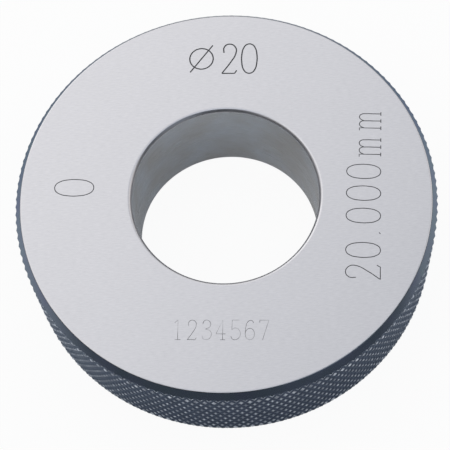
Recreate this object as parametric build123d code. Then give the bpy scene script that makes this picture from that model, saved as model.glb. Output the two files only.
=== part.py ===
from build123d import *
import math
import os

# A setting ring for bore gauges: one hardened steel ring with a lapped bore, two ground faces
# and a diamond-knurled rim. Sizes are in millimetres. The ring lies on its lower face, with
# the bore's axis along Z and the origin in the middle of that face.

bore_diameter = 20.0
width = 12.0
bore_chamfer_radial = 0.28
bore_chamfer_axial = 0.3
rim_chamfer_radial = 0.7
rim_chamfer_axial = 1.0

# The knurl is what two sets of helical V-grooves, one of each hand, leave between them:
# low pointed diamonds, each taller than it is wide, in columns round the rim.
knurl_diameter = 45.2
knurl_depth = 0.15
knurl_pitch_round = 0.925
knurl_pitch_along = 1.75
first_points_below_face = 1.01

# Where the first column stands, in columns round from +X
knurl_start = 0.125

# How far outside the knurl the chamfering tool starts
tool_clearance = 0.5

point_radius = knurl_diameter / 2
root_radius = point_radius - knurl_depth
face_radius = point_radius - rim_chamfer_radial
columns = round(math.pi * knurl_diameter / knurl_pitch_round)
column_angle = 360 / columns
row_height = knurl_pitch_along / 2


def rim_corner(radius, turn, height):
    """A point at the rim, where turn counts columns of the knurl."""
    angle = math.radians(turn * column_angle)
    return Vector(radius * math.cos(angle), radius * math.sin(angle), height)


def facet(*corners):
    return Face(Wire.make_polygon(corners))


def knurl_rows():
    """One column of the knurl as rows of three corners, left edge, middle and right edge.
    In every other row the point is in the middle and the roots are at the edges."""
    top = width - first_points_below_face + row_height * math.ceil(first_points_below_face / row_height)
    rows = []
    for row in range(math.ceil(top / row_height) + 1):
        height = top - row * row_height
        middle, edge = (point_radius, root_radius) if row % 2 == 0 else (root_radius, point_radius)
        rows.append(
            (
                rim_corner(edge, -0.5, height),
                rim_corner(middle, 0, height),
                rim_corner(edge, 0.5, height),
            )
        )
    return rows


def knurled_wedge():
    """The wedge of bar behind one column of the knurl, from the axis outwards."""
    rows = knurl_rows()
    faces = []
    for row, (above, below) in enumerate(zip(rows, rows[1:])):
        for edge in (0, 2):
            # The two flanks on each side of the middle meet in a groove, from root to root.
            if row % 2 == 0:
                groove = (above[edge], below[1])
                points = (above[1], below[edge])
            else:
                groove = (above[1], below[edge])
                points = (above[edge], below[1])
            for point in points:
                faces.append(facet(point, *groove))

    axis_top = Vector(0, 0, rows[0][1].Z)
    axis_bottom = Vector(0, 0, rows[-1][1].Z)
    faces.append(facet(axis_top, *rows[0]))
    faces.append(facet(axis_bottom, *rows[-1]))
    for edge in (0, 2):
        faces.append(facet(axis_top, *[row[edge] for row in rows], axis_bottom))
    return Solid(Shell(faces))


def chamfering_form():
    """The room that the chamfered rim has: two ground faces and two sloping edges."""
    clear_radius = point_radius + tool_clearance
    clear_height = (clear_radius - face_radius) * rim_chamfer_axial / rim_chamfer_radial
    outline = facet(
        (-clear_radius, 0, 0),
        (face_radius, 0, 0),
        (clear_radius, 0, clear_height),
        (clear_radius, 0, width - clear_height),
        (face_radius, 0, width),
        (-clear_radius, 0, width),
    )
    return extrude(outline, clear_radius, both=True)


def knurled_disc():
    """The solid disc: one chamfered wedge's rim, repeated round between the two ground faces."""
    wedge = knurled_wedge() & chamfering_form()
    rim = [face for face in wedge.faces() if face.bounding_box().min.X > bore_diameter / 2]
    faces = []
    for column in range(columns):
        turned = Location((0, 0, 0), (0, 0, (column + knurl_start) * column_angle))
        faces += [face.moved(turned) for face in rim]

    corner_radius = face_radius / math.cos(math.radians(column_angle / 2))
    for height in (0, width):
        turns = [column + knurl_start + 0.5 for column in range(columns)]
        faces.append(facet(*[rim_corner(corner_radius, turn, height) for turn in turns]))
    return Solid(Shell(faces))


def bored_out():
    """What the bore takes away, with a chamfer at each mouth."""
    bore_radius = bore_diameter / 2
    mouth_radius = bore_radius + bore_chamfer_radial
    outline = facet(
        (0, 0, 0),
        (mouth_radius, 0, 0),
        (bore_radius, 0, bore_chamfer_axial),
        (bore_radius, 0, width - bore_chamfer_axial),
        (mouth_radius, 0, width),
        (0, 0, width),
    )
    return revolve(outline, Axis.Z)


os.makedirs("parts", exist_ok=True)
export_step(knurled_disc() - bored_out(), "parts/setting_ring.step")
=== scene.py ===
import math

import bpy
from mathutils import Matrix, Vector


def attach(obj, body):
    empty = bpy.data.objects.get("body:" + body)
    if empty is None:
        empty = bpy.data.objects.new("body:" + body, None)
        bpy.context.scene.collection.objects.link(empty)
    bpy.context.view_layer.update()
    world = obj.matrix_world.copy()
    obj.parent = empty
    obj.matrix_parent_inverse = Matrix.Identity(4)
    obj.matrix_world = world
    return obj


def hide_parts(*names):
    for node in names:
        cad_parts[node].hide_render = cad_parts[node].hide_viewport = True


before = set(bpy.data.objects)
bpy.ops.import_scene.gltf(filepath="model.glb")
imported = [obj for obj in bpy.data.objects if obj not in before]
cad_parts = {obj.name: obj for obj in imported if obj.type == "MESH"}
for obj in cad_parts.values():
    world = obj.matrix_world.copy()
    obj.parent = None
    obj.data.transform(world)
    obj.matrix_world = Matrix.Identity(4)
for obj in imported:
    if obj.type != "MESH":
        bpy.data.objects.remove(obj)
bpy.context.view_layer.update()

# The setting ring
# One hardened steel ring, turned and knurled, blued all over, and then ground bright on both
# faces and lapped in the bore, so that only the rim and the chamfers keep their blue.
# It is modelled as it is made: a knurled bar, a turned form that is cut out of it, and marks.

mm = 0.001

ring_width = 12.0 * mm
bore_radius = 10.0 * mm
mouth_radius = 10.28 * mm
mouth_chamfer_height = 0.3 * mm
face_radius = 21.9 * mm
rim_chamfer_slope = 1.0 / 0.7

knurl_radius = 22.6 * mm
knurl_root_radius = 22.45 * mm
knurl_columns = 154
knurl_column_angle = 2 * math.pi / knurl_columns
knurl_start = 0.125 * knurl_column_angle
knurl_row_height = 0.875 * mm
knurl_rows = 15
knurl_lowest_row = -0.385 * mm
crest_worn_off_percent = 12
crest_segments = 2
weld_distance = 0.00002 * mm


def only(*objects):
    """Leaves these objects alone selected, the last of them active, in object mode."""
    if bpy.context.object and bpy.context.object.mode != "OBJECT":
        bpy.ops.object.mode_set(mode="OBJECT")
    bpy.ops.object.select_all(action="DESELECT")
    for each in objects:
        each.select_set(True)
        bpy.context.view_layer.objects.active = each


def pick_vertices(piece, test):
    """Opens the piece in edit mode with only those vertices selected that pass the test."""
    only(piece)
    bpy.ops.object.mode_set(mode="EDIT")
    bpy.ops.mesh.select_mode(type="VERT")
    bpy.ops.mesh.select_all(action="DESELECT")
    bpy.ops.object.mode_set(mode="OBJECT")
    for vertex in piece.data.vertices:
        vertex.select = test(vertex)
    bpy.ops.object.mode_set(mode="EDIT")


def weld_and_face_outwards():
    """In edit mode: welds what is double and turns every face outwards."""
    bpy.ops.mesh.select_all(action="SELECT")
    bpy.ops.mesh.remove_doubles(threshold=weld_distance)
    bpy.ops.mesh.normals_make_consistent(inside=False)


# Two sets of helical grooves, one of each hand, leave low pointed diamonds on the bar. The bar
# starts as a ring of points, is drawn up row by row, and every second point is pushed out.
bpy.ops.object.select_all(action="DESELECT")
bpy.ops.mesh.primitive_circle_add(
    vertices=2 * knurl_columns,
    radius=knurl_root_radius,
    location=(0, 0, knurl_lowest_row),
    rotation=(0, 0, knurl_start),
)
bar = bpy.context.object
bar.name = "setting_ring_dressed"
bpy.ops.object.transform_apply(location=True, rotation=True, scale=True)
bpy.ops.object.mode_set(mode="EDIT")
bpy.ops.mesh.select_all(action="SELECT")
for row in range(knurl_rows):
    bpy.ops.mesh.extrude_region_move(TRANSFORM_OT_translate={"value": (0, 0, knurl_row_height)})


def lattice_place(point):
    """Which row of the knurl a point is in, and how many half columns it is round from +X."""
    row = round((point.z - knurl_lowest_row) / knurl_row_height)
    turn = round((math.atan2(point.y, point.x) - knurl_start) / (knurl_column_angle / 2))
    return row, turn


def is_crest(vertex):
    row, turn = lattice_place(vertex.co)
    return (row + turn) % 2 == 1


def in_end_row(vertex):
    return lattice_place(vertex.co)[0] in (0, knurl_rows)


pick_vertices(bar, is_crest)
outwards = knurl_radius / knurl_root_radius
bpy.ops.transform.resize(value=(outwards, outwards, 1), center_override=(0, 0, 0))
pick_vertices(bar, lambda vertex: not is_crest(vertex))
bpy.ops.mesh.vert_connect()
for end in (0, knurl_rows):
    pick_vertices(bar, lambda vertex: lattice_place(vertex.co)[0] == end)
    bpy.ops.mesh.edge_face_add()
pick_vertices(bar, lambda vertex: is_crest(vertex) and not in_end_row(vertex))
bpy.ops.mesh.bevel(
    offset_type="PERCENT",
    offset_pct=crest_worn_off_percent,
    segments=crest_segments,
    affect="VERTICES",
    clamp_overlap=False,
)
weld_and_face_outwards()
bpy.ops.object.mode_set(mode="OBJECT")

# The turned form is a section with its chamfers and edge breaks, spun round the bore's axis.
# Its rim stands clear of the knurl, so that the bar gives the diamonds and it gives the rest.
turning_clearance = 0.3 * mm
turned_radius = knurl_radius + turning_clearance
spin_steps = 480
rim_edge_break = 0.11 * mm
mouth_edge_break = 0.13 * mm
bore_edge_break = 0.17 * mm
edge_break_segments = 4
cutting_tolerance = 0.0001 * mm
same_place = 0.001 * mm

bpy.ops.object.select_all(action="DESELECT")
bpy.ops.mesh.primitive_plane_add(
    size=1,
    location=((bore_radius + turned_radius) / 2, 0, ring_width / 2),
    rotation=(math.radians(90), 0, 0),
)
turned = bpy.context.object
turned.name = "turned_form"
turned.scale = (turned_radius - bore_radius, ring_width, 1)
bpy.ops.object.transform_apply(location=True, rotation=True, scale=True)
mouth_chamfer_slope = mouth_chamfer_height / (mouth_radius - bore_radius)
for face_height, up in ((ring_width, 1), (0, -1)):
    for edge_radius, chamfer_direction in (
        (face_radius, (rim_chamfer_slope, 0, up)),
        (mouth_radius, (-mouth_chamfer_slope, 0, up)),
    ):
        bpy.ops.object.mode_set(mode="EDIT")
        bpy.ops.mesh.select_all(action="SELECT")
        bpy.ops.mesh.bisect(
            plane_co=(edge_radius, 0, face_height),
            plane_no=Vector(chamfer_direction).normalized(),
            clear_outer=True,
            threshold=cutting_tolerance,
        )
        bpy.ops.object.mode_set(mode="OBJECT")


def near(value, wanted):
    return abs(value - wanted) < same_place


def break_corners(radius, at_face, size):
    """Rounds the section's corners that lie at this radius, those at the faces or the others."""

    def is_corner(vertex):
        on_a_face = near(vertex.co.z, 0) or near(vertex.co.z, ring_width)
        return near(vertex.co.x, radius) and on_a_face == at_face

    pick_vertices(turned, is_corner)
    bpy.ops.mesh.bevel(
        offset=size,
        segments=edge_break_segments,
        affect="VERTICES",
        clamp_overlap=False,
    )
    bpy.ops.object.mode_set(mode="OBJECT")


break_corners(face_radius, True, rim_edge_break)
break_corners(mouth_radius, True, mouth_edge_break)
break_corners(bore_radius, False, bore_edge_break)
bpy.ops.object.mode_set(mode="EDIT")
bpy.ops.mesh.select_all(action="SELECT")
bpy.ops.mesh.delete(type="ONLY_FACE")
bpy.ops.mesh.select_all(action="SELECT")
bpy.ops.mesh.spin(steps=spin_steps, angle=2 * math.pi, center=(0, 0, 0), axis=(0, 0, 1))
weld_and_face_outwards()
bpy.ops.object.mode_set(mode="OBJECT")

# The ring has six finishes: ground faces, blued chamfers, blued and rubbed knurl, lapped bore,
# and the cut and the worn marks. They are all made of the same few kinds of node.


def add_node(tree, kind, inputs, **settings):
    """A new shader node with its settings. An input gets a value or is linked to a socket."""
    node = tree.nodes.new(kind)
    for setting, value in settings.items():
        setattr(node, setting, value)
    for key, value in inputs.items():
        if isinstance(value, bpy.types.NodeSocket):
            tree.links.new(value, node.inputs[key])
        else:
            node.inputs[key].default_value = value
    return node


def between(tree, value, low, high, to_low, to_high):
    """Where the value goes from low to high, the result goes from to_low to to_high."""
    inputs = {
        "Value": value,
        "From Min": low,
        "From Max": high,
        "To Min": to_low,
        "To Max": to_high,
    }
    return add_node(tree, "ShaderNodeMapRange", inputs).outputs["Result"]


def blended(tree, share, first, second):
    """Two colours, or a socket and a colour, mixed by a share from 0 to 1."""
    mix = add_node(tree, "ShaderNodeMix", {0: share}, data_type="RGBA")
    colour_inputs = [socket for socket in mix.inputs if socket.type == "RGBA"]
    for socket, colour in zip(colour_inputs, (first, second)):
        if isinstance(colour, bpy.types.NodeSocket):
            tree.links.new(colour, socket)
        else:
            socket.default_value = (*colour, 1)
    return next(socket for socket in mix.outputs if socket.type == "RGBA")


def clouds(tree, place, scale, detail):
    """Soft uneven noise, with its middle at about one half."""
    inputs = {"Vector": place, "Scale": scale, "Detail": detail}
    return add_node(tree, "ShaderNodeTexNoise", inputs).outputs["Fac"]


# Fine scratches from a grinding wheel or a lapping stone: noise that is drawn out along them
stone_marks = bpy.data.node_groups.new("stone_marks", "ShaderNodeTree")
group_inputs = {"Place": "NodeSocketVector", "Angle": "NodeSocketFloat", "Grid": "NodeSocketVector"}
for name, kind in group_inputs.items():
    stone_marks.interface.new_socket(name=name, in_out="INPUT", socket_type=kind)
stone_marks.interface.new_socket(name="Depth", in_out="OUTPUT", socket_type="NodeSocketFloat")
given = stone_marks.nodes.new("NodeGroupInput").outputs
along_scratches = add_node(
    stone_marks,
    "ShaderNodeVectorRotate",
    {"Vector": given["Place"], "Angle": given["Angle"]},
    rotation_type="Z_AXIS",
).outputs[0]
drawn_out = add_node(
    stone_marks,
    "ShaderNodeVectorMath",
    {0: along_scratches, 1: given["Grid"]},
    operation="MULTIPLY",
).outputs[0]
scratch_depth = add_node(
    stone_marks,
    "ShaderNodeTexNoise",
    {"Vector": drawn_out, "Scale": 1.0, "Detail": 3.0, "Roughness": 0.65},
).outputs["Fac"]
add_node(stone_marks, "NodeGroupOutput", {"Depth": scratch_depth})


def scratches(tree, place, angle, grid):
    """The group of stone marks in a material. Grid is how fine they are along X, Y and Z."""
    inputs = {"Place": place, "Angle": angle, "Grid": grid}
    return add_node(tree, "ShaderNodeGroup", inputs, node_tree=stone_marks).outputs["Depth"]


def new_finish(name, metallic=1.0):
    """A material, with its node tree, its shader and the place on the piece."""
    material = bpy.data.materials.new(name)
    material.use_nodes = True
    tree = material.node_tree
    shader = tree.nodes["Principled BSDF"]
    shader.inputs["Metallic"].default_value = metallic
    place = tree.nodes.new("ShaderNodeTexCoord").outputs["Object"]
    return material, tree, shader, place


# The ground faces: bright steel with short fine scratches, nearly all one way, and faint clouds
steel_in_scratches = (0.574, 0.570, 0.597)
steel_beside_scratches = (0.671, 0.665, 0.690)
dull_patch = (0.5, 0.5, 0.5)
grinding_angle = math.radians(-4)
grinding_grid = (1500, 8500, 8500)
scratch_relief = 0.0008 * mm
ground, tree, shader, place = new_finish("ground_steel")
wheel_marks = scratches(tree, place, grinding_angle, grinding_grid)
steel_tone = between(tree, wheel_marks, 0.25, 0.75, 0, 1)
steel = blended(tree, steel_tone, steel_in_scratches, steel_beside_scratches)
patches = between(tree, clouds(tree, place, scale=260, detail=4), 0.35, 0.65, 0, 0.035)
tree.links.new(blended(tree, patches, steel, dull_patch), shader.inputs["Base Color"])
tree.links.new(between(tree, wheel_marks, 0.2, 0.8, 0.27, 0.35), shader.inputs["Roughness"])
relief = add_node(tree, "ShaderNodeBump", {"Height": wheel_marks, "Distance": scratch_relief})
tree.links.new(relief.outputs["Normal"], shader.inputs["Normal"])

# The blue on the chamfers: a thin black oxide with a little oil on it
dry_oxide = (0.30, 0.37, 0.41)
oiled_oxide = (0.30, 0.33, 0.44)
oxide_seen_aslant = (0.40, 0.44, 0.50)
blued, tree, shader, place = new_finish("blued_steel")
shader.inputs["Specular Tint"].default_value = (*oxide_seen_aslant, 1)
oil = clouds(tree, place, scale=350, detail=3)
oxide_tone = between(tree, oil, 0.3, 0.7, 0, 1)
oxide = blended(tree, oxide_tone, dry_oxide, oiled_oxide)
tree.links.new(oxide, shader.inputs["Base Color"])
tree.links.new(between(tree, oil, 0.3, 0.7, 0.11, 0.18), shader.inputs["Roughness"])

# The blue on the knurl, rubbed off the crests of the diamonds by handling, and from a little
# more of each in the outer rows. Those are given by their distance from the middle of the rim.
rubbed_from = 22.53 * mm
rubbed_to = 22.565 * mm
outer_rows_from = 3.6 * mm
outer_rows_to = 4.1 * mm
deeper_in_outer_rows = 0.03 * mm
dry_knurl = (0.048, 0.055, 0.078)
oiled_knurl = (0.080, 0.092, 0.130)
knurl_seen_aslant = (0.76, 0.85, 0.96)
bare_crest = (0.88, 0.90, 0.94)
knurled, tree, shader, place = new_finish("blued_knurl")
shader.inputs["Specular Tint"].default_value = (*knurl_seen_aslant, 1)
oil = clouds(tree, place, scale=500, detail=3)
oxide_tone = between(tree, oil, 0.3, 0.7, 0, 1)
oxide = blended(tree, oxide_tone, dry_knurl, oiled_knurl)
level_place = add_node(tree, "ShaderNodeVectorMath", {0: place, 1: (1, 1, 0)}, operation="MULTIPLY")
from_axis = add_node(tree, "ShaderNodeVectorMath", {0: level_place.outputs[0]}, operation="LENGTH")
height = add_node(tree, "ShaderNodeSeparateXYZ", {0: place}).outputs["Z"]
above_middle = add_node(
    tree,
    "ShaderNodeMath",
    {0: height, 1: ring_width / 2},
    operation="SUBTRACT",
).outputs[0]
off_middle = add_node(tree, "ShaderNodeMath", {0: above_middle}, operation="ABSOLUTE").outputs[0]
deeper = between(tree, off_middle, outer_rows_from, outer_rows_to, 0, deeper_in_outer_rows)
reached = add_node(
    tree,
    "ShaderNodeMath",
    {0: from_axis.outputs["Value"], 1: deeper},
    operation="ADD",
).outputs[0]
rubbed = between(tree, reached, rubbed_from, rubbed_to, 0, 1)
wear = between(tree, clouds(tree, place, scale=1100, detail=2), 0.38, 0.62, 0.3, 1)
bare = add_node(tree, "ShaderNodeMath", {0: rubbed, 1: wear}, operation="MULTIPLY").outputs[0]
tree.links.new(blended(tree, bare, oxide, bare_crest), shader.inputs["Base Color"])
tree.links.new(between(tree, oil, 0.3, 0.7, 0.28, 0.42), shader.inputs["Roughness"])

# The bore: grey steel, lapped round and round until it is smooth
warm_grey = (0.46, 0.45, 0.44)
cool_grey = (0.53, 0.565, 0.61)
lapped_bright = (0.68, 0.68, 0.69)
lapping_grid = (300, 300, 9000)
lapped, tree, shader, place = new_finish("lapped_steel")
lap_marks = scratches(tree, place, 0.0, lapping_grid)
film = clouds(tree, place, scale=220, detail=4)
grey_tone = between(tree, film, 0.35, 0.65, 0, 1)
grey = blended(tree, grey_tone, warm_grey, cool_grey)
worked = blended(tree, between(tree, lap_marks, 0.3, 0.7, 0, 0.25), grey, lapped_bright)
tree.links.new(worked, shader.inputs["Base Color"])
tree.links.new(between(tree, lap_marks, 0.3, 0.7, 0.2, 0.3), shader.inputs["Roughness"])

# The strokes of the marks: cut steel, dull, coloured near black at random as painted shade for the
# shadow in their narrow grooves
deep_groove_shade = (0.05, 0.052, 0.06)
pale_groove_shade = (0.12, 0.122, 0.13)
cut, tree, shader, place = new_finish("engraved_steel", metallic=0.4)
groove_shade_noise = clouds(tree, place, scale=900, detail=2)
# Painted shade: the strokes get a near-black colour for the shade down in their grooves.
painted_groove_shade = blended(tree, groove_shade_noise, deep_groove_shade, pale_groove_shade)
tree.links.new(painted_groove_shade, shader.inputs["Base Color"])
shader.inputs["Roughness"].default_value = 0.6

# The small number was cut before the last grinding, which has left it faint in places. Its strokes
# are darkened as painted shade for their grooves, and paler at random where faint
painted_stroke_shade = (0.16, 0.162, 0.17)
faint_stroke = (0.5, 0.5, 0.51)
worn_cut, tree, shader, place = new_finish("worn_engraving", metallic=0.8)
ground_away = between(tree, clouds(tree, place, scale=700, detail=2), 0.4, 0.6, 0, 1)
# Painted shade in the strokes, mixed at random with a paler grey where the grinding left them
# faint.
worn_stroke_shade = blended(tree, ground_away, painted_stroke_shade, faint_stroke)
tree.links.new(worn_stroke_shade, shader.inputs["Base Color"])
shader.inputs["Roughness"].default_value = 0.45

finishes = [ground, blued, knurled, lapped, cut, worn_cut]


def give_finish(piece, finish, test=None):
    """Puts a finish on the piece's faces that pass the test, or on all of them."""
    if len(piece.data.materials) != len(finishes):
        piece.data.materials.clear()
        for each in finishes:
            piece.data.materials.append(each)
    for face in piece.data.polygons:
        if test is None or test(face):
            face.material_index = finishes.index(finish)


# How level a face is when the wheel grinds it, and how upright and near the bore's wall when
# it is lapped. Both are given by the upward part of its normal.
ground_above = 0.7
lapped_below = 0.1
wall_margin = 0.02 * mm


def is_nearly_level(face):
    return abs(face.normal.z) > ground_above


def in_the_mouth(face):
    return math.hypot(face.center.x, face.center.y) < mouth_radius


def in_the_bore(face):
    at_the_wall = math.hypot(face.center.x, face.center.y) < bore_radius + wall_margin
    return at_the_wall and abs(face.normal.z) < lapped_below


give_finish(bar, knurled)
give_finish(turned, blued)
give_finish(turned, ground, is_nearly_level)
give_finish(turned, ground, in_the_mouth)
give_finish(turned, lapped, in_the_bore)

# The marks are plain numbers, cut with a fine round-nosed tool, each figure in a few single
# strokes. A stroke is straight from point to point, round through its points, or an oval.
STRAIGHT, ROUND, OVAL = "straight", "round", "oval"
points_in_an_oval = 12


def oval(width, bottom, top, squareness):
    """Points of a closed oval, a true ellipse at squareness 2 with straighter sides above it."""
    points = []
    for step in range(points_in_an_oval):
        turn = 2 * math.pi * (step + 0.5) / points_in_an_oval
        across = math.copysign(abs(math.cos(turn)) ** (2 / squareness), math.cos(turn))
        up = math.copysign(abs(math.sin(turn)) ** (2 / squareness), math.sin(turn))
        points.append(((1 + across) / 2 * width, bottom + (1 + up) / 2 * (top - bottom)))
    return points


# Each figure is 1 high and stands on its left lower corner.
figures = {
    "0": [(OVAL, oval(0.46, 0, 1, 2.3))],
    "1": [
        (STRAIGHT, [(0.08, 0.86), (0.24, 1), (0.24, 0)]),
        (STRAIGHT, [(0.1, 0), (0.38, 0)]),
    ],
    "2": [
        (
            ROUND,
            [(0.05, 0.7), (0.06, 0.9), (0.22, 1), (0.4, 0.88), (0.41, 0.68), (0.26, 0.38), (0, 0)],
        ),
        (STRAIGHT, [(0, 0), (0.38, 0), (0.44, 0.1)]),
    ],
    "3": [
        (ROUND, [(0.03, 0.8), (0.08, 0.94), (0.22, 1), (0.38, 0.9), (0.38, 0.66), (0.16, 0.54)]),
        (ROUND, [(0.16, 0.54), (0.4, 0.44), (0.42, 0.14), (0.22, 0), (0.06, 0.06), (0, 0.2)]),
    ],
    "4": [
        (STRAIGHT, [(0.32, 0), (0.32, 1), (0, 0.3), (0.46, 0.3)]),
        (STRAIGHT, [(0.2, 0), (0.44, 0)]),
    ],
    "5": [
        (STRAIGHT, [(0.4, 1), (0.06, 1), (0.04, 0.52)]),
        (
            ROUND,
            [
                (0.04, 0.52),
                (0.22, 0.6),
                (0.42, 0.46),
                (0.42, 0.16),
                (0.22, 0),
                (0.06, 0.05),
                (0, 0.18),
            ],
        ),
    ],
    "6": [
        (ROUND, [(0.4, 0.86), (0.3, 0.99), (0.12, 0.92), (0.02, 0.62), (0, 0.3)]),
        (OVAL, oval(0.44, 0, 0.58, 2.1)),
    ],
    "7": [(STRAIGHT, [(0, 0.88), (0, 1), (0.44, 1), (0.14, 0)])],
    ".": [(STRAIGHT, [(0.2, 0.0), (0.24, 0.04)])],
    "m": [
        (STRAIGHT, [(-0.02, 0.64), (0.06, 0.64), (0.06, 0)]),
        (ROUND, [(0.06, 0.5), (0.12, 0.61), (0.2, 0.64), (0.28, 0.58), (0.3, 0.44), (0.3, 0.2)]),
        (STRAIGHT, [(0.3, 0.3), (0.3, 0)]),
        (ROUND, [(0.3, 0.5), (0.36, 0.61), (0.44, 0.64), (0.52, 0.58), (0.54, 0.44), (0.54, 0.2)]),
        (STRAIGHT, [(0.54, 0.3), (0.54, 0)]),
        (STRAIGHT, [(0, 0), (0.12, 0)]),
        (STRAIGHT, [(0.24, 0), (0.36, 0)]),
        (STRAIGHT, [(0.48, 0), (0.6, 0)]),
    ],
    "diameter": [
        (OVAL, oval(0.7, 0.15, 0.85, 2)),
        (STRAIGHT, [(0.02, 0.04), (0.68, 0.96)]),
    ],
}

# How far above the face the middle of the tool's nose runs, and how finely its path bends
nose_height = 0.004 * mm
steps_in_a_bend = 4


def cut_strokes(figure, corner, angle, height, stroke_width):
    """The tool's path for one figure, as a round bar along each stroke, at the upper face."""
    bpy.ops.object.select_all(action="DESELECT")
    bpy.ops.curve.primitive_bezier_curve_add(location=(0, 0, 0))
    path = bpy.context.object
    path.data.splines.clear()
    path.data.dimensions = "3D"
    path.data.bevel_depth = stroke_width / 2
    path.data.bevel_resolution = 1
    path.data.use_fill_caps = True
    along = Vector((math.cos(angle), math.sin(angle), 0))
    upwards = Vector((-math.sin(angle), math.cos(angle), 0))
    for form, points in figures[figure]:
        spline = path.data.splines.new("BEZIER")
        spline.resolution_u = 1 if form == STRAIGHT else steps_in_a_bend
        spline.bezier_points.add(len(points) - 1)
        for bend, (across, up) in zip(spline.bezier_points, points):
            bend.co = corner + along * across * height + upwards * up * height
            bend.handle_left_type = "VECTOR" if form == STRAIGHT else "AUTO"
            bend.handle_right_type = bend.handle_left_type
        spline.use_cyclic_u = form == OVAL
    bpy.ops.object.convert(target="MESH")
    return bpy.context.object


def mark(finish, start, degrees, height, stroke_width, row):
    """A row of figures, each given with the distance of its middle from the row's start."""
    angle = math.radians(degrees)
    along = Vector((math.cos(angle), math.sin(angle), 0))
    row_start = Vector((*start, ring_width + nose_height))
    strokes = []
    for figure, middle in row:
        reach = [across for form, points in figures[figure] for across, up in points]
        half = (min(reach) + max(reach)) / 2 * height
        corner = row_start + along * (middle - half)
        strokes.append(cut_strokes(figure, corner, angle, height, stroke_width))
        give_finish(strokes[-1], finish)
    return strokes


# The size of the bore, with the middle of each figure in millimetres from the first one's
size_row = {0: "2", 2.46: "0", 4.4: ".", 6.37: "0", 8.96: "0", 11.5: "0", 14.36: "m", 17.51: "m"}
size_places = [(figure, middle * mm) for middle, figure in size_row.items()]
tool_paths = mark(
    cut,
    start=(16.25 * mm, -8.94 * mm),
    degrees=88.5,
    height=3.6 * mm,
    stroke_width=0.1 * mm,
    row=size_places,
)

# The grade, by itself on the other side of the bore
tool_paths += mark(
    cut,
    start=(-14.08 * mm, 0.79 * mm),
    degrees=90,
    height=4.2 * mm,
    stroke_width=0.1 * mm,
    row=[("0", 0)],
)

# The nominal size, cut wider and deeper
nominal_places = [("diameter", 0), ("2", 3.1 * mm), ("0", 5.3 * mm)]
tool_paths += mark(
    cut,
    start=(-2.9 * mm, 14.6 * mm),
    degrees=0,
    height=3.7 * mm,
    stroke_width=0.15 * mm,
    row=nominal_places,
)

# A number of seven figures, small and shallow
number_spacing = 1.48 * mm
number_places = [(figure, place * number_spacing) for place, figure in enumerate("1234567")]
tool_paths += mark(
    worn_cut,
    start=(-4.58 * mm, -16.31 * mm),
    degrees=0,
    height=2.12 * mm,
    stroke_width=0.06 * mm,
    row=number_places,
)

only(*tool_paths)
bpy.ops.object.join()
engraving_tool = bpy.context.object
engraving_tool.name = "engraving_tool"


def boolean(piece, tool, operation, solver):
    """Cuts or keeps the tool's shape in the piece, and takes the tool away."""
    only(piece)
    modifier = piece.modifiers.new(operation.lower(), "BOOLEAN")
    modifier.object = tool
    modifier.operation = operation
    modifier.solver = solver
    if solver == "EXACT":
        modifier.use_self = True
    bpy.ops.object.modifier_apply(modifier=modifier.name)
    bpy.data.objects.remove(tool)


boolean(turned, engraving_tool, "DIFFERENCE", "EXACT")
boolean(bar, turned, "INTERSECT", "MANIFOLD")

# The turned curves are shaded smooth, and the ground faces stay flat to their edges.
smooth_below = math.radians(8)
level_above = 0.9999
only(bar)
bpy.ops.object.shade_smooth_by_angle(angle=smooth_below)
for face in bar.data.polygons:
    if abs(face.normal.z) > level_above:
        face.use_smooth = False

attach(bar, "root")
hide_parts("setting_ring")


# The camera
# It looks down on the marked face from the front, as near to the ring as the photo's camera.
# The angles are in radians.
look_at = Vector((0, 0, ring_width / 2))
camera_turn = 3 * knurl_column_angle
camera_elevation = 1.15761566
camera_distance = 163.244 * mm
aim_across = 0.00235605
aim_up = -0.00544027
camera_roll = -0.1144151

photo_camera = bpy.data.cameras.new("photo_camera")
photo_camera.lens = 118.68
photo_camera.sensor_width = 36
photo_camera.clip_start = 0.01
photo_camera.clip_end = 20
camera = bpy.data.objects.new("photo_camera", photo_camera)
scene = bpy.context.scene
scene.collection.objects.link(camera)
camera.matrix_world = (
    Matrix.Translation(look_at)
    @ Matrix.Rotation(camera_turn, 4, "Z")
    @ Matrix.Rotation(math.pi / 2 - camera_elevation, 4, "X")
    @ Matrix.Translation((0, 0, camera_distance))
    @ Matrix.Rotation(aim_across, 4, "Y")
    @ Matrix.Rotation(aim_up, 4, "X")
    @ Matrix.Rotation(camera_roll, 4, "Z")
)
scene.camera = camera


# The floor
# A small sheet of white paper on a dark bench. The camera sees plain white all over, apart from
# the ring's soft shadow, and the steel sees the paper, part of that white and the bench.
floor_size = 6.0
white_seen = 0.94
white_mirrored = 0.045
paper_edge_from = 45 * mm
paper_edge_to = 85 * mm
paper_colour = (0.8, 0.8, 0.8)
bench_colour = (0.12, 0.13, 0.15)

bpy.ops.object.select_all(action="DESELECT")
bpy.ops.mesh.primitive_plane_add(size=floor_size, location=(0, 0, 0))
floor = bpy.context.object
floor.name = "floor"
paper, tree, shader, place = new_finish("white_paper", metallic=0.0)
from_ring = add_node(tree, "ShaderNodeVectorMath", {0: place}, operation="LENGTH").outputs["Value"]
past_the_paper = between(tree, from_ring, paper_edge_from, paper_edge_to, 0, 1)
sheet = blended(tree, past_the_paper, paper_colour, bench_colour)
tree.links.new(sheet, shader.inputs["Base Color"])
mirrored = between(tree, past_the_paper, 0, 1, white_mirrored, 0)
shader.inputs["Roughness"].default_value = 0.9
shader.inputs["Specular IOR Level"].default_value = 0.0
ray = tree.nodes.new("ShaderNodeLightPath").outputs
direct = add_node(
    tree,
    "ShaderNodeMath",
    {0: ray["Is Glossy Ray"], 1: mirrored, 2: ray["Is Camera Ray"]},
    operation="MULTIPLY_ADD",
).outputs[0]
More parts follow.
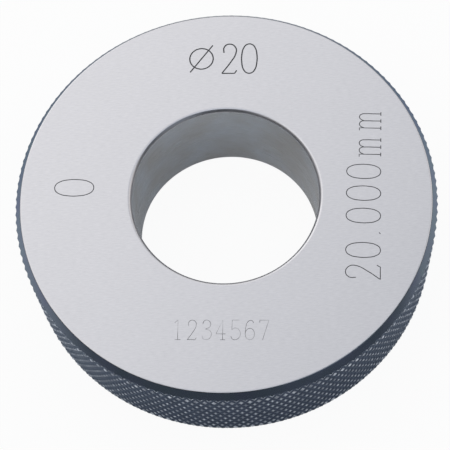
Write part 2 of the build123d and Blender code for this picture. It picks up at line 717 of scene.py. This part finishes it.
any_ray = add_node(
    tree,
    "ShaderNodeMath",
    {0: direct, 1: ray["Is Transmission Ray"]},
    operation="ADD",
    use_clamp=True,
).outputs[0]
share = add_node(
    tree,
    "ShaderNodeMath",
    {0: any_ray, 1: white_seen},
    operation="MULTIPLY",
).outputs[0]
white = tree.nodes.new("ShaderNodeEmission").outputs[0]
surface = add_node(tree, "ShaderNodeMixShader", {0: share, 1: shader.outputs[0], 2: white})
tree.links.new(surface.outputs[0], tree.nodes["Material Output"].inputs["Surface"])
floor.data.materials.append(paper)


# The light
# A white studio, brightest at the back on the left and dark in front, with a soft lamp at the
# back left. On the right are a warm wall, a dim low window and a pale panel high up, and a
# bluish panel is high in front.
bright_side = (-0.810, 0.525, -0.28)
warm_side = (0.823, 0.437, 0.365)
panel_side = (0.051, -0.419, 0.906)
window_side = (0.640, -0.762, 0.10)
pale_side = (0.500, 0.000, 0.866)
front = (-0.498, -0.867, 0.0)
dark_colour = (0.10, 0.115, 0.14)
middle_colour = (0.97, 0.99, 1.02)
bright_colour = (1.25, 1.245, 1.24)
warm_colour = (1.10, 1.07, 1.04)
panel_colour = (0.94, 0.99, 1.06)
window_colour = (0.30, 0.33, 0.38)
pale_colour = (0.88, 0.93, 0.98)
level_at_horizon = 0.25
level_in_front = 0.06

# Where the studio's zones begin and end, as how far a direction goes to their side
dark_until = -0.44
middle_at = -0.09
bright_from = 0.2
horizon_until = -0.1
overhead_from = 0.7
front_edge = 0.3
front_middle = 0.75
front_top = 0.2
clear_above_front = 0.6

studio = bpy.data.worlds.new("studio")
scene.world = studio
studio.use_nodes = True
tree = studio.node_tree
direction = tree.nodes.new("ShaderNodeTexCoord").outputs["Generated"]


def towards(side):
    """How far a direction goes to one side of the studio, from -1 to 1."""
    return add_node(
        tree,
        "ShaderNodeVectorMath",
        {0: direction, 1: side},
        operation="DOT_PRODUCT",
    ).outputs["Value"]


bright = towards(bright_side)
dark_to_middle = between(tree, bright, dark_until, middle_at, 0, 1)
glow = blended(tree, dark_to_middle, dark_colour, middle_colour)
middle_to_bright = between(tree, bright, middle_at, bright_from, 0, 1)
glow = blended(tree, middle_to_bright, glow, bright_colour)
up = towards((0, 0, 1))
rise = between(tree, up, horizon_until, overhead_from, level_at_horizon, 1)
glow = blended(tree, rise, (0, 0, 0), glow)
fall = between(tree, towards(front), front_edge, front_middle, 1, level_in_front)
over_the_front = between(tree, up, front_top, clear_above_front, 0, 1)
shade = add_node(
    tree,
    "ShaderNodeMath",
    {0: fall, 1: over_the_front},
    operation="MAXIMUM",
).outputs[0]
glow = blended(tree, shade, (0, 0, 0), glow)
for side, edge, middle, colour in (
    (warm_side, 0.86, 0.97, warm_colour),
    (panel_side, 0.90, 0.95, panel_colour),
    (window_side, 0.88, 0.98, window_colour),
    (pale_side, 0.90, 0.96, pale_colour),
):
    glow = blended(tree, between(tree, towards(side), edge, middle, 0, 1), glow, colour)
ray = tree.nodes.new("ShaderNodeLightPath").outputs
sky = blended(tree, ray["Is Camera Ray"], glow, (1, 1, 1))
tree.links.new(sky, tree.nodes["Background"].inputs["Color"])

lamp_place = Vector((-0.35, 0.45, 0.22))
softbox = bpy.data.lights.new("softbox", "AREA")
softbox.shape = "DISK"
softbox.size = 0.4
softbox.energy = 0.3
lamp = bpy.data.objects.new("softbox", softbox)
scene.collection.objects.link(lamp)
lamp.location = lamp_place
lamp.rotation_euler = (look_at - lamp_place).to_track_quat("-Z", "Y").to_euler()

scene.view_settings.view_transform = "Standard"
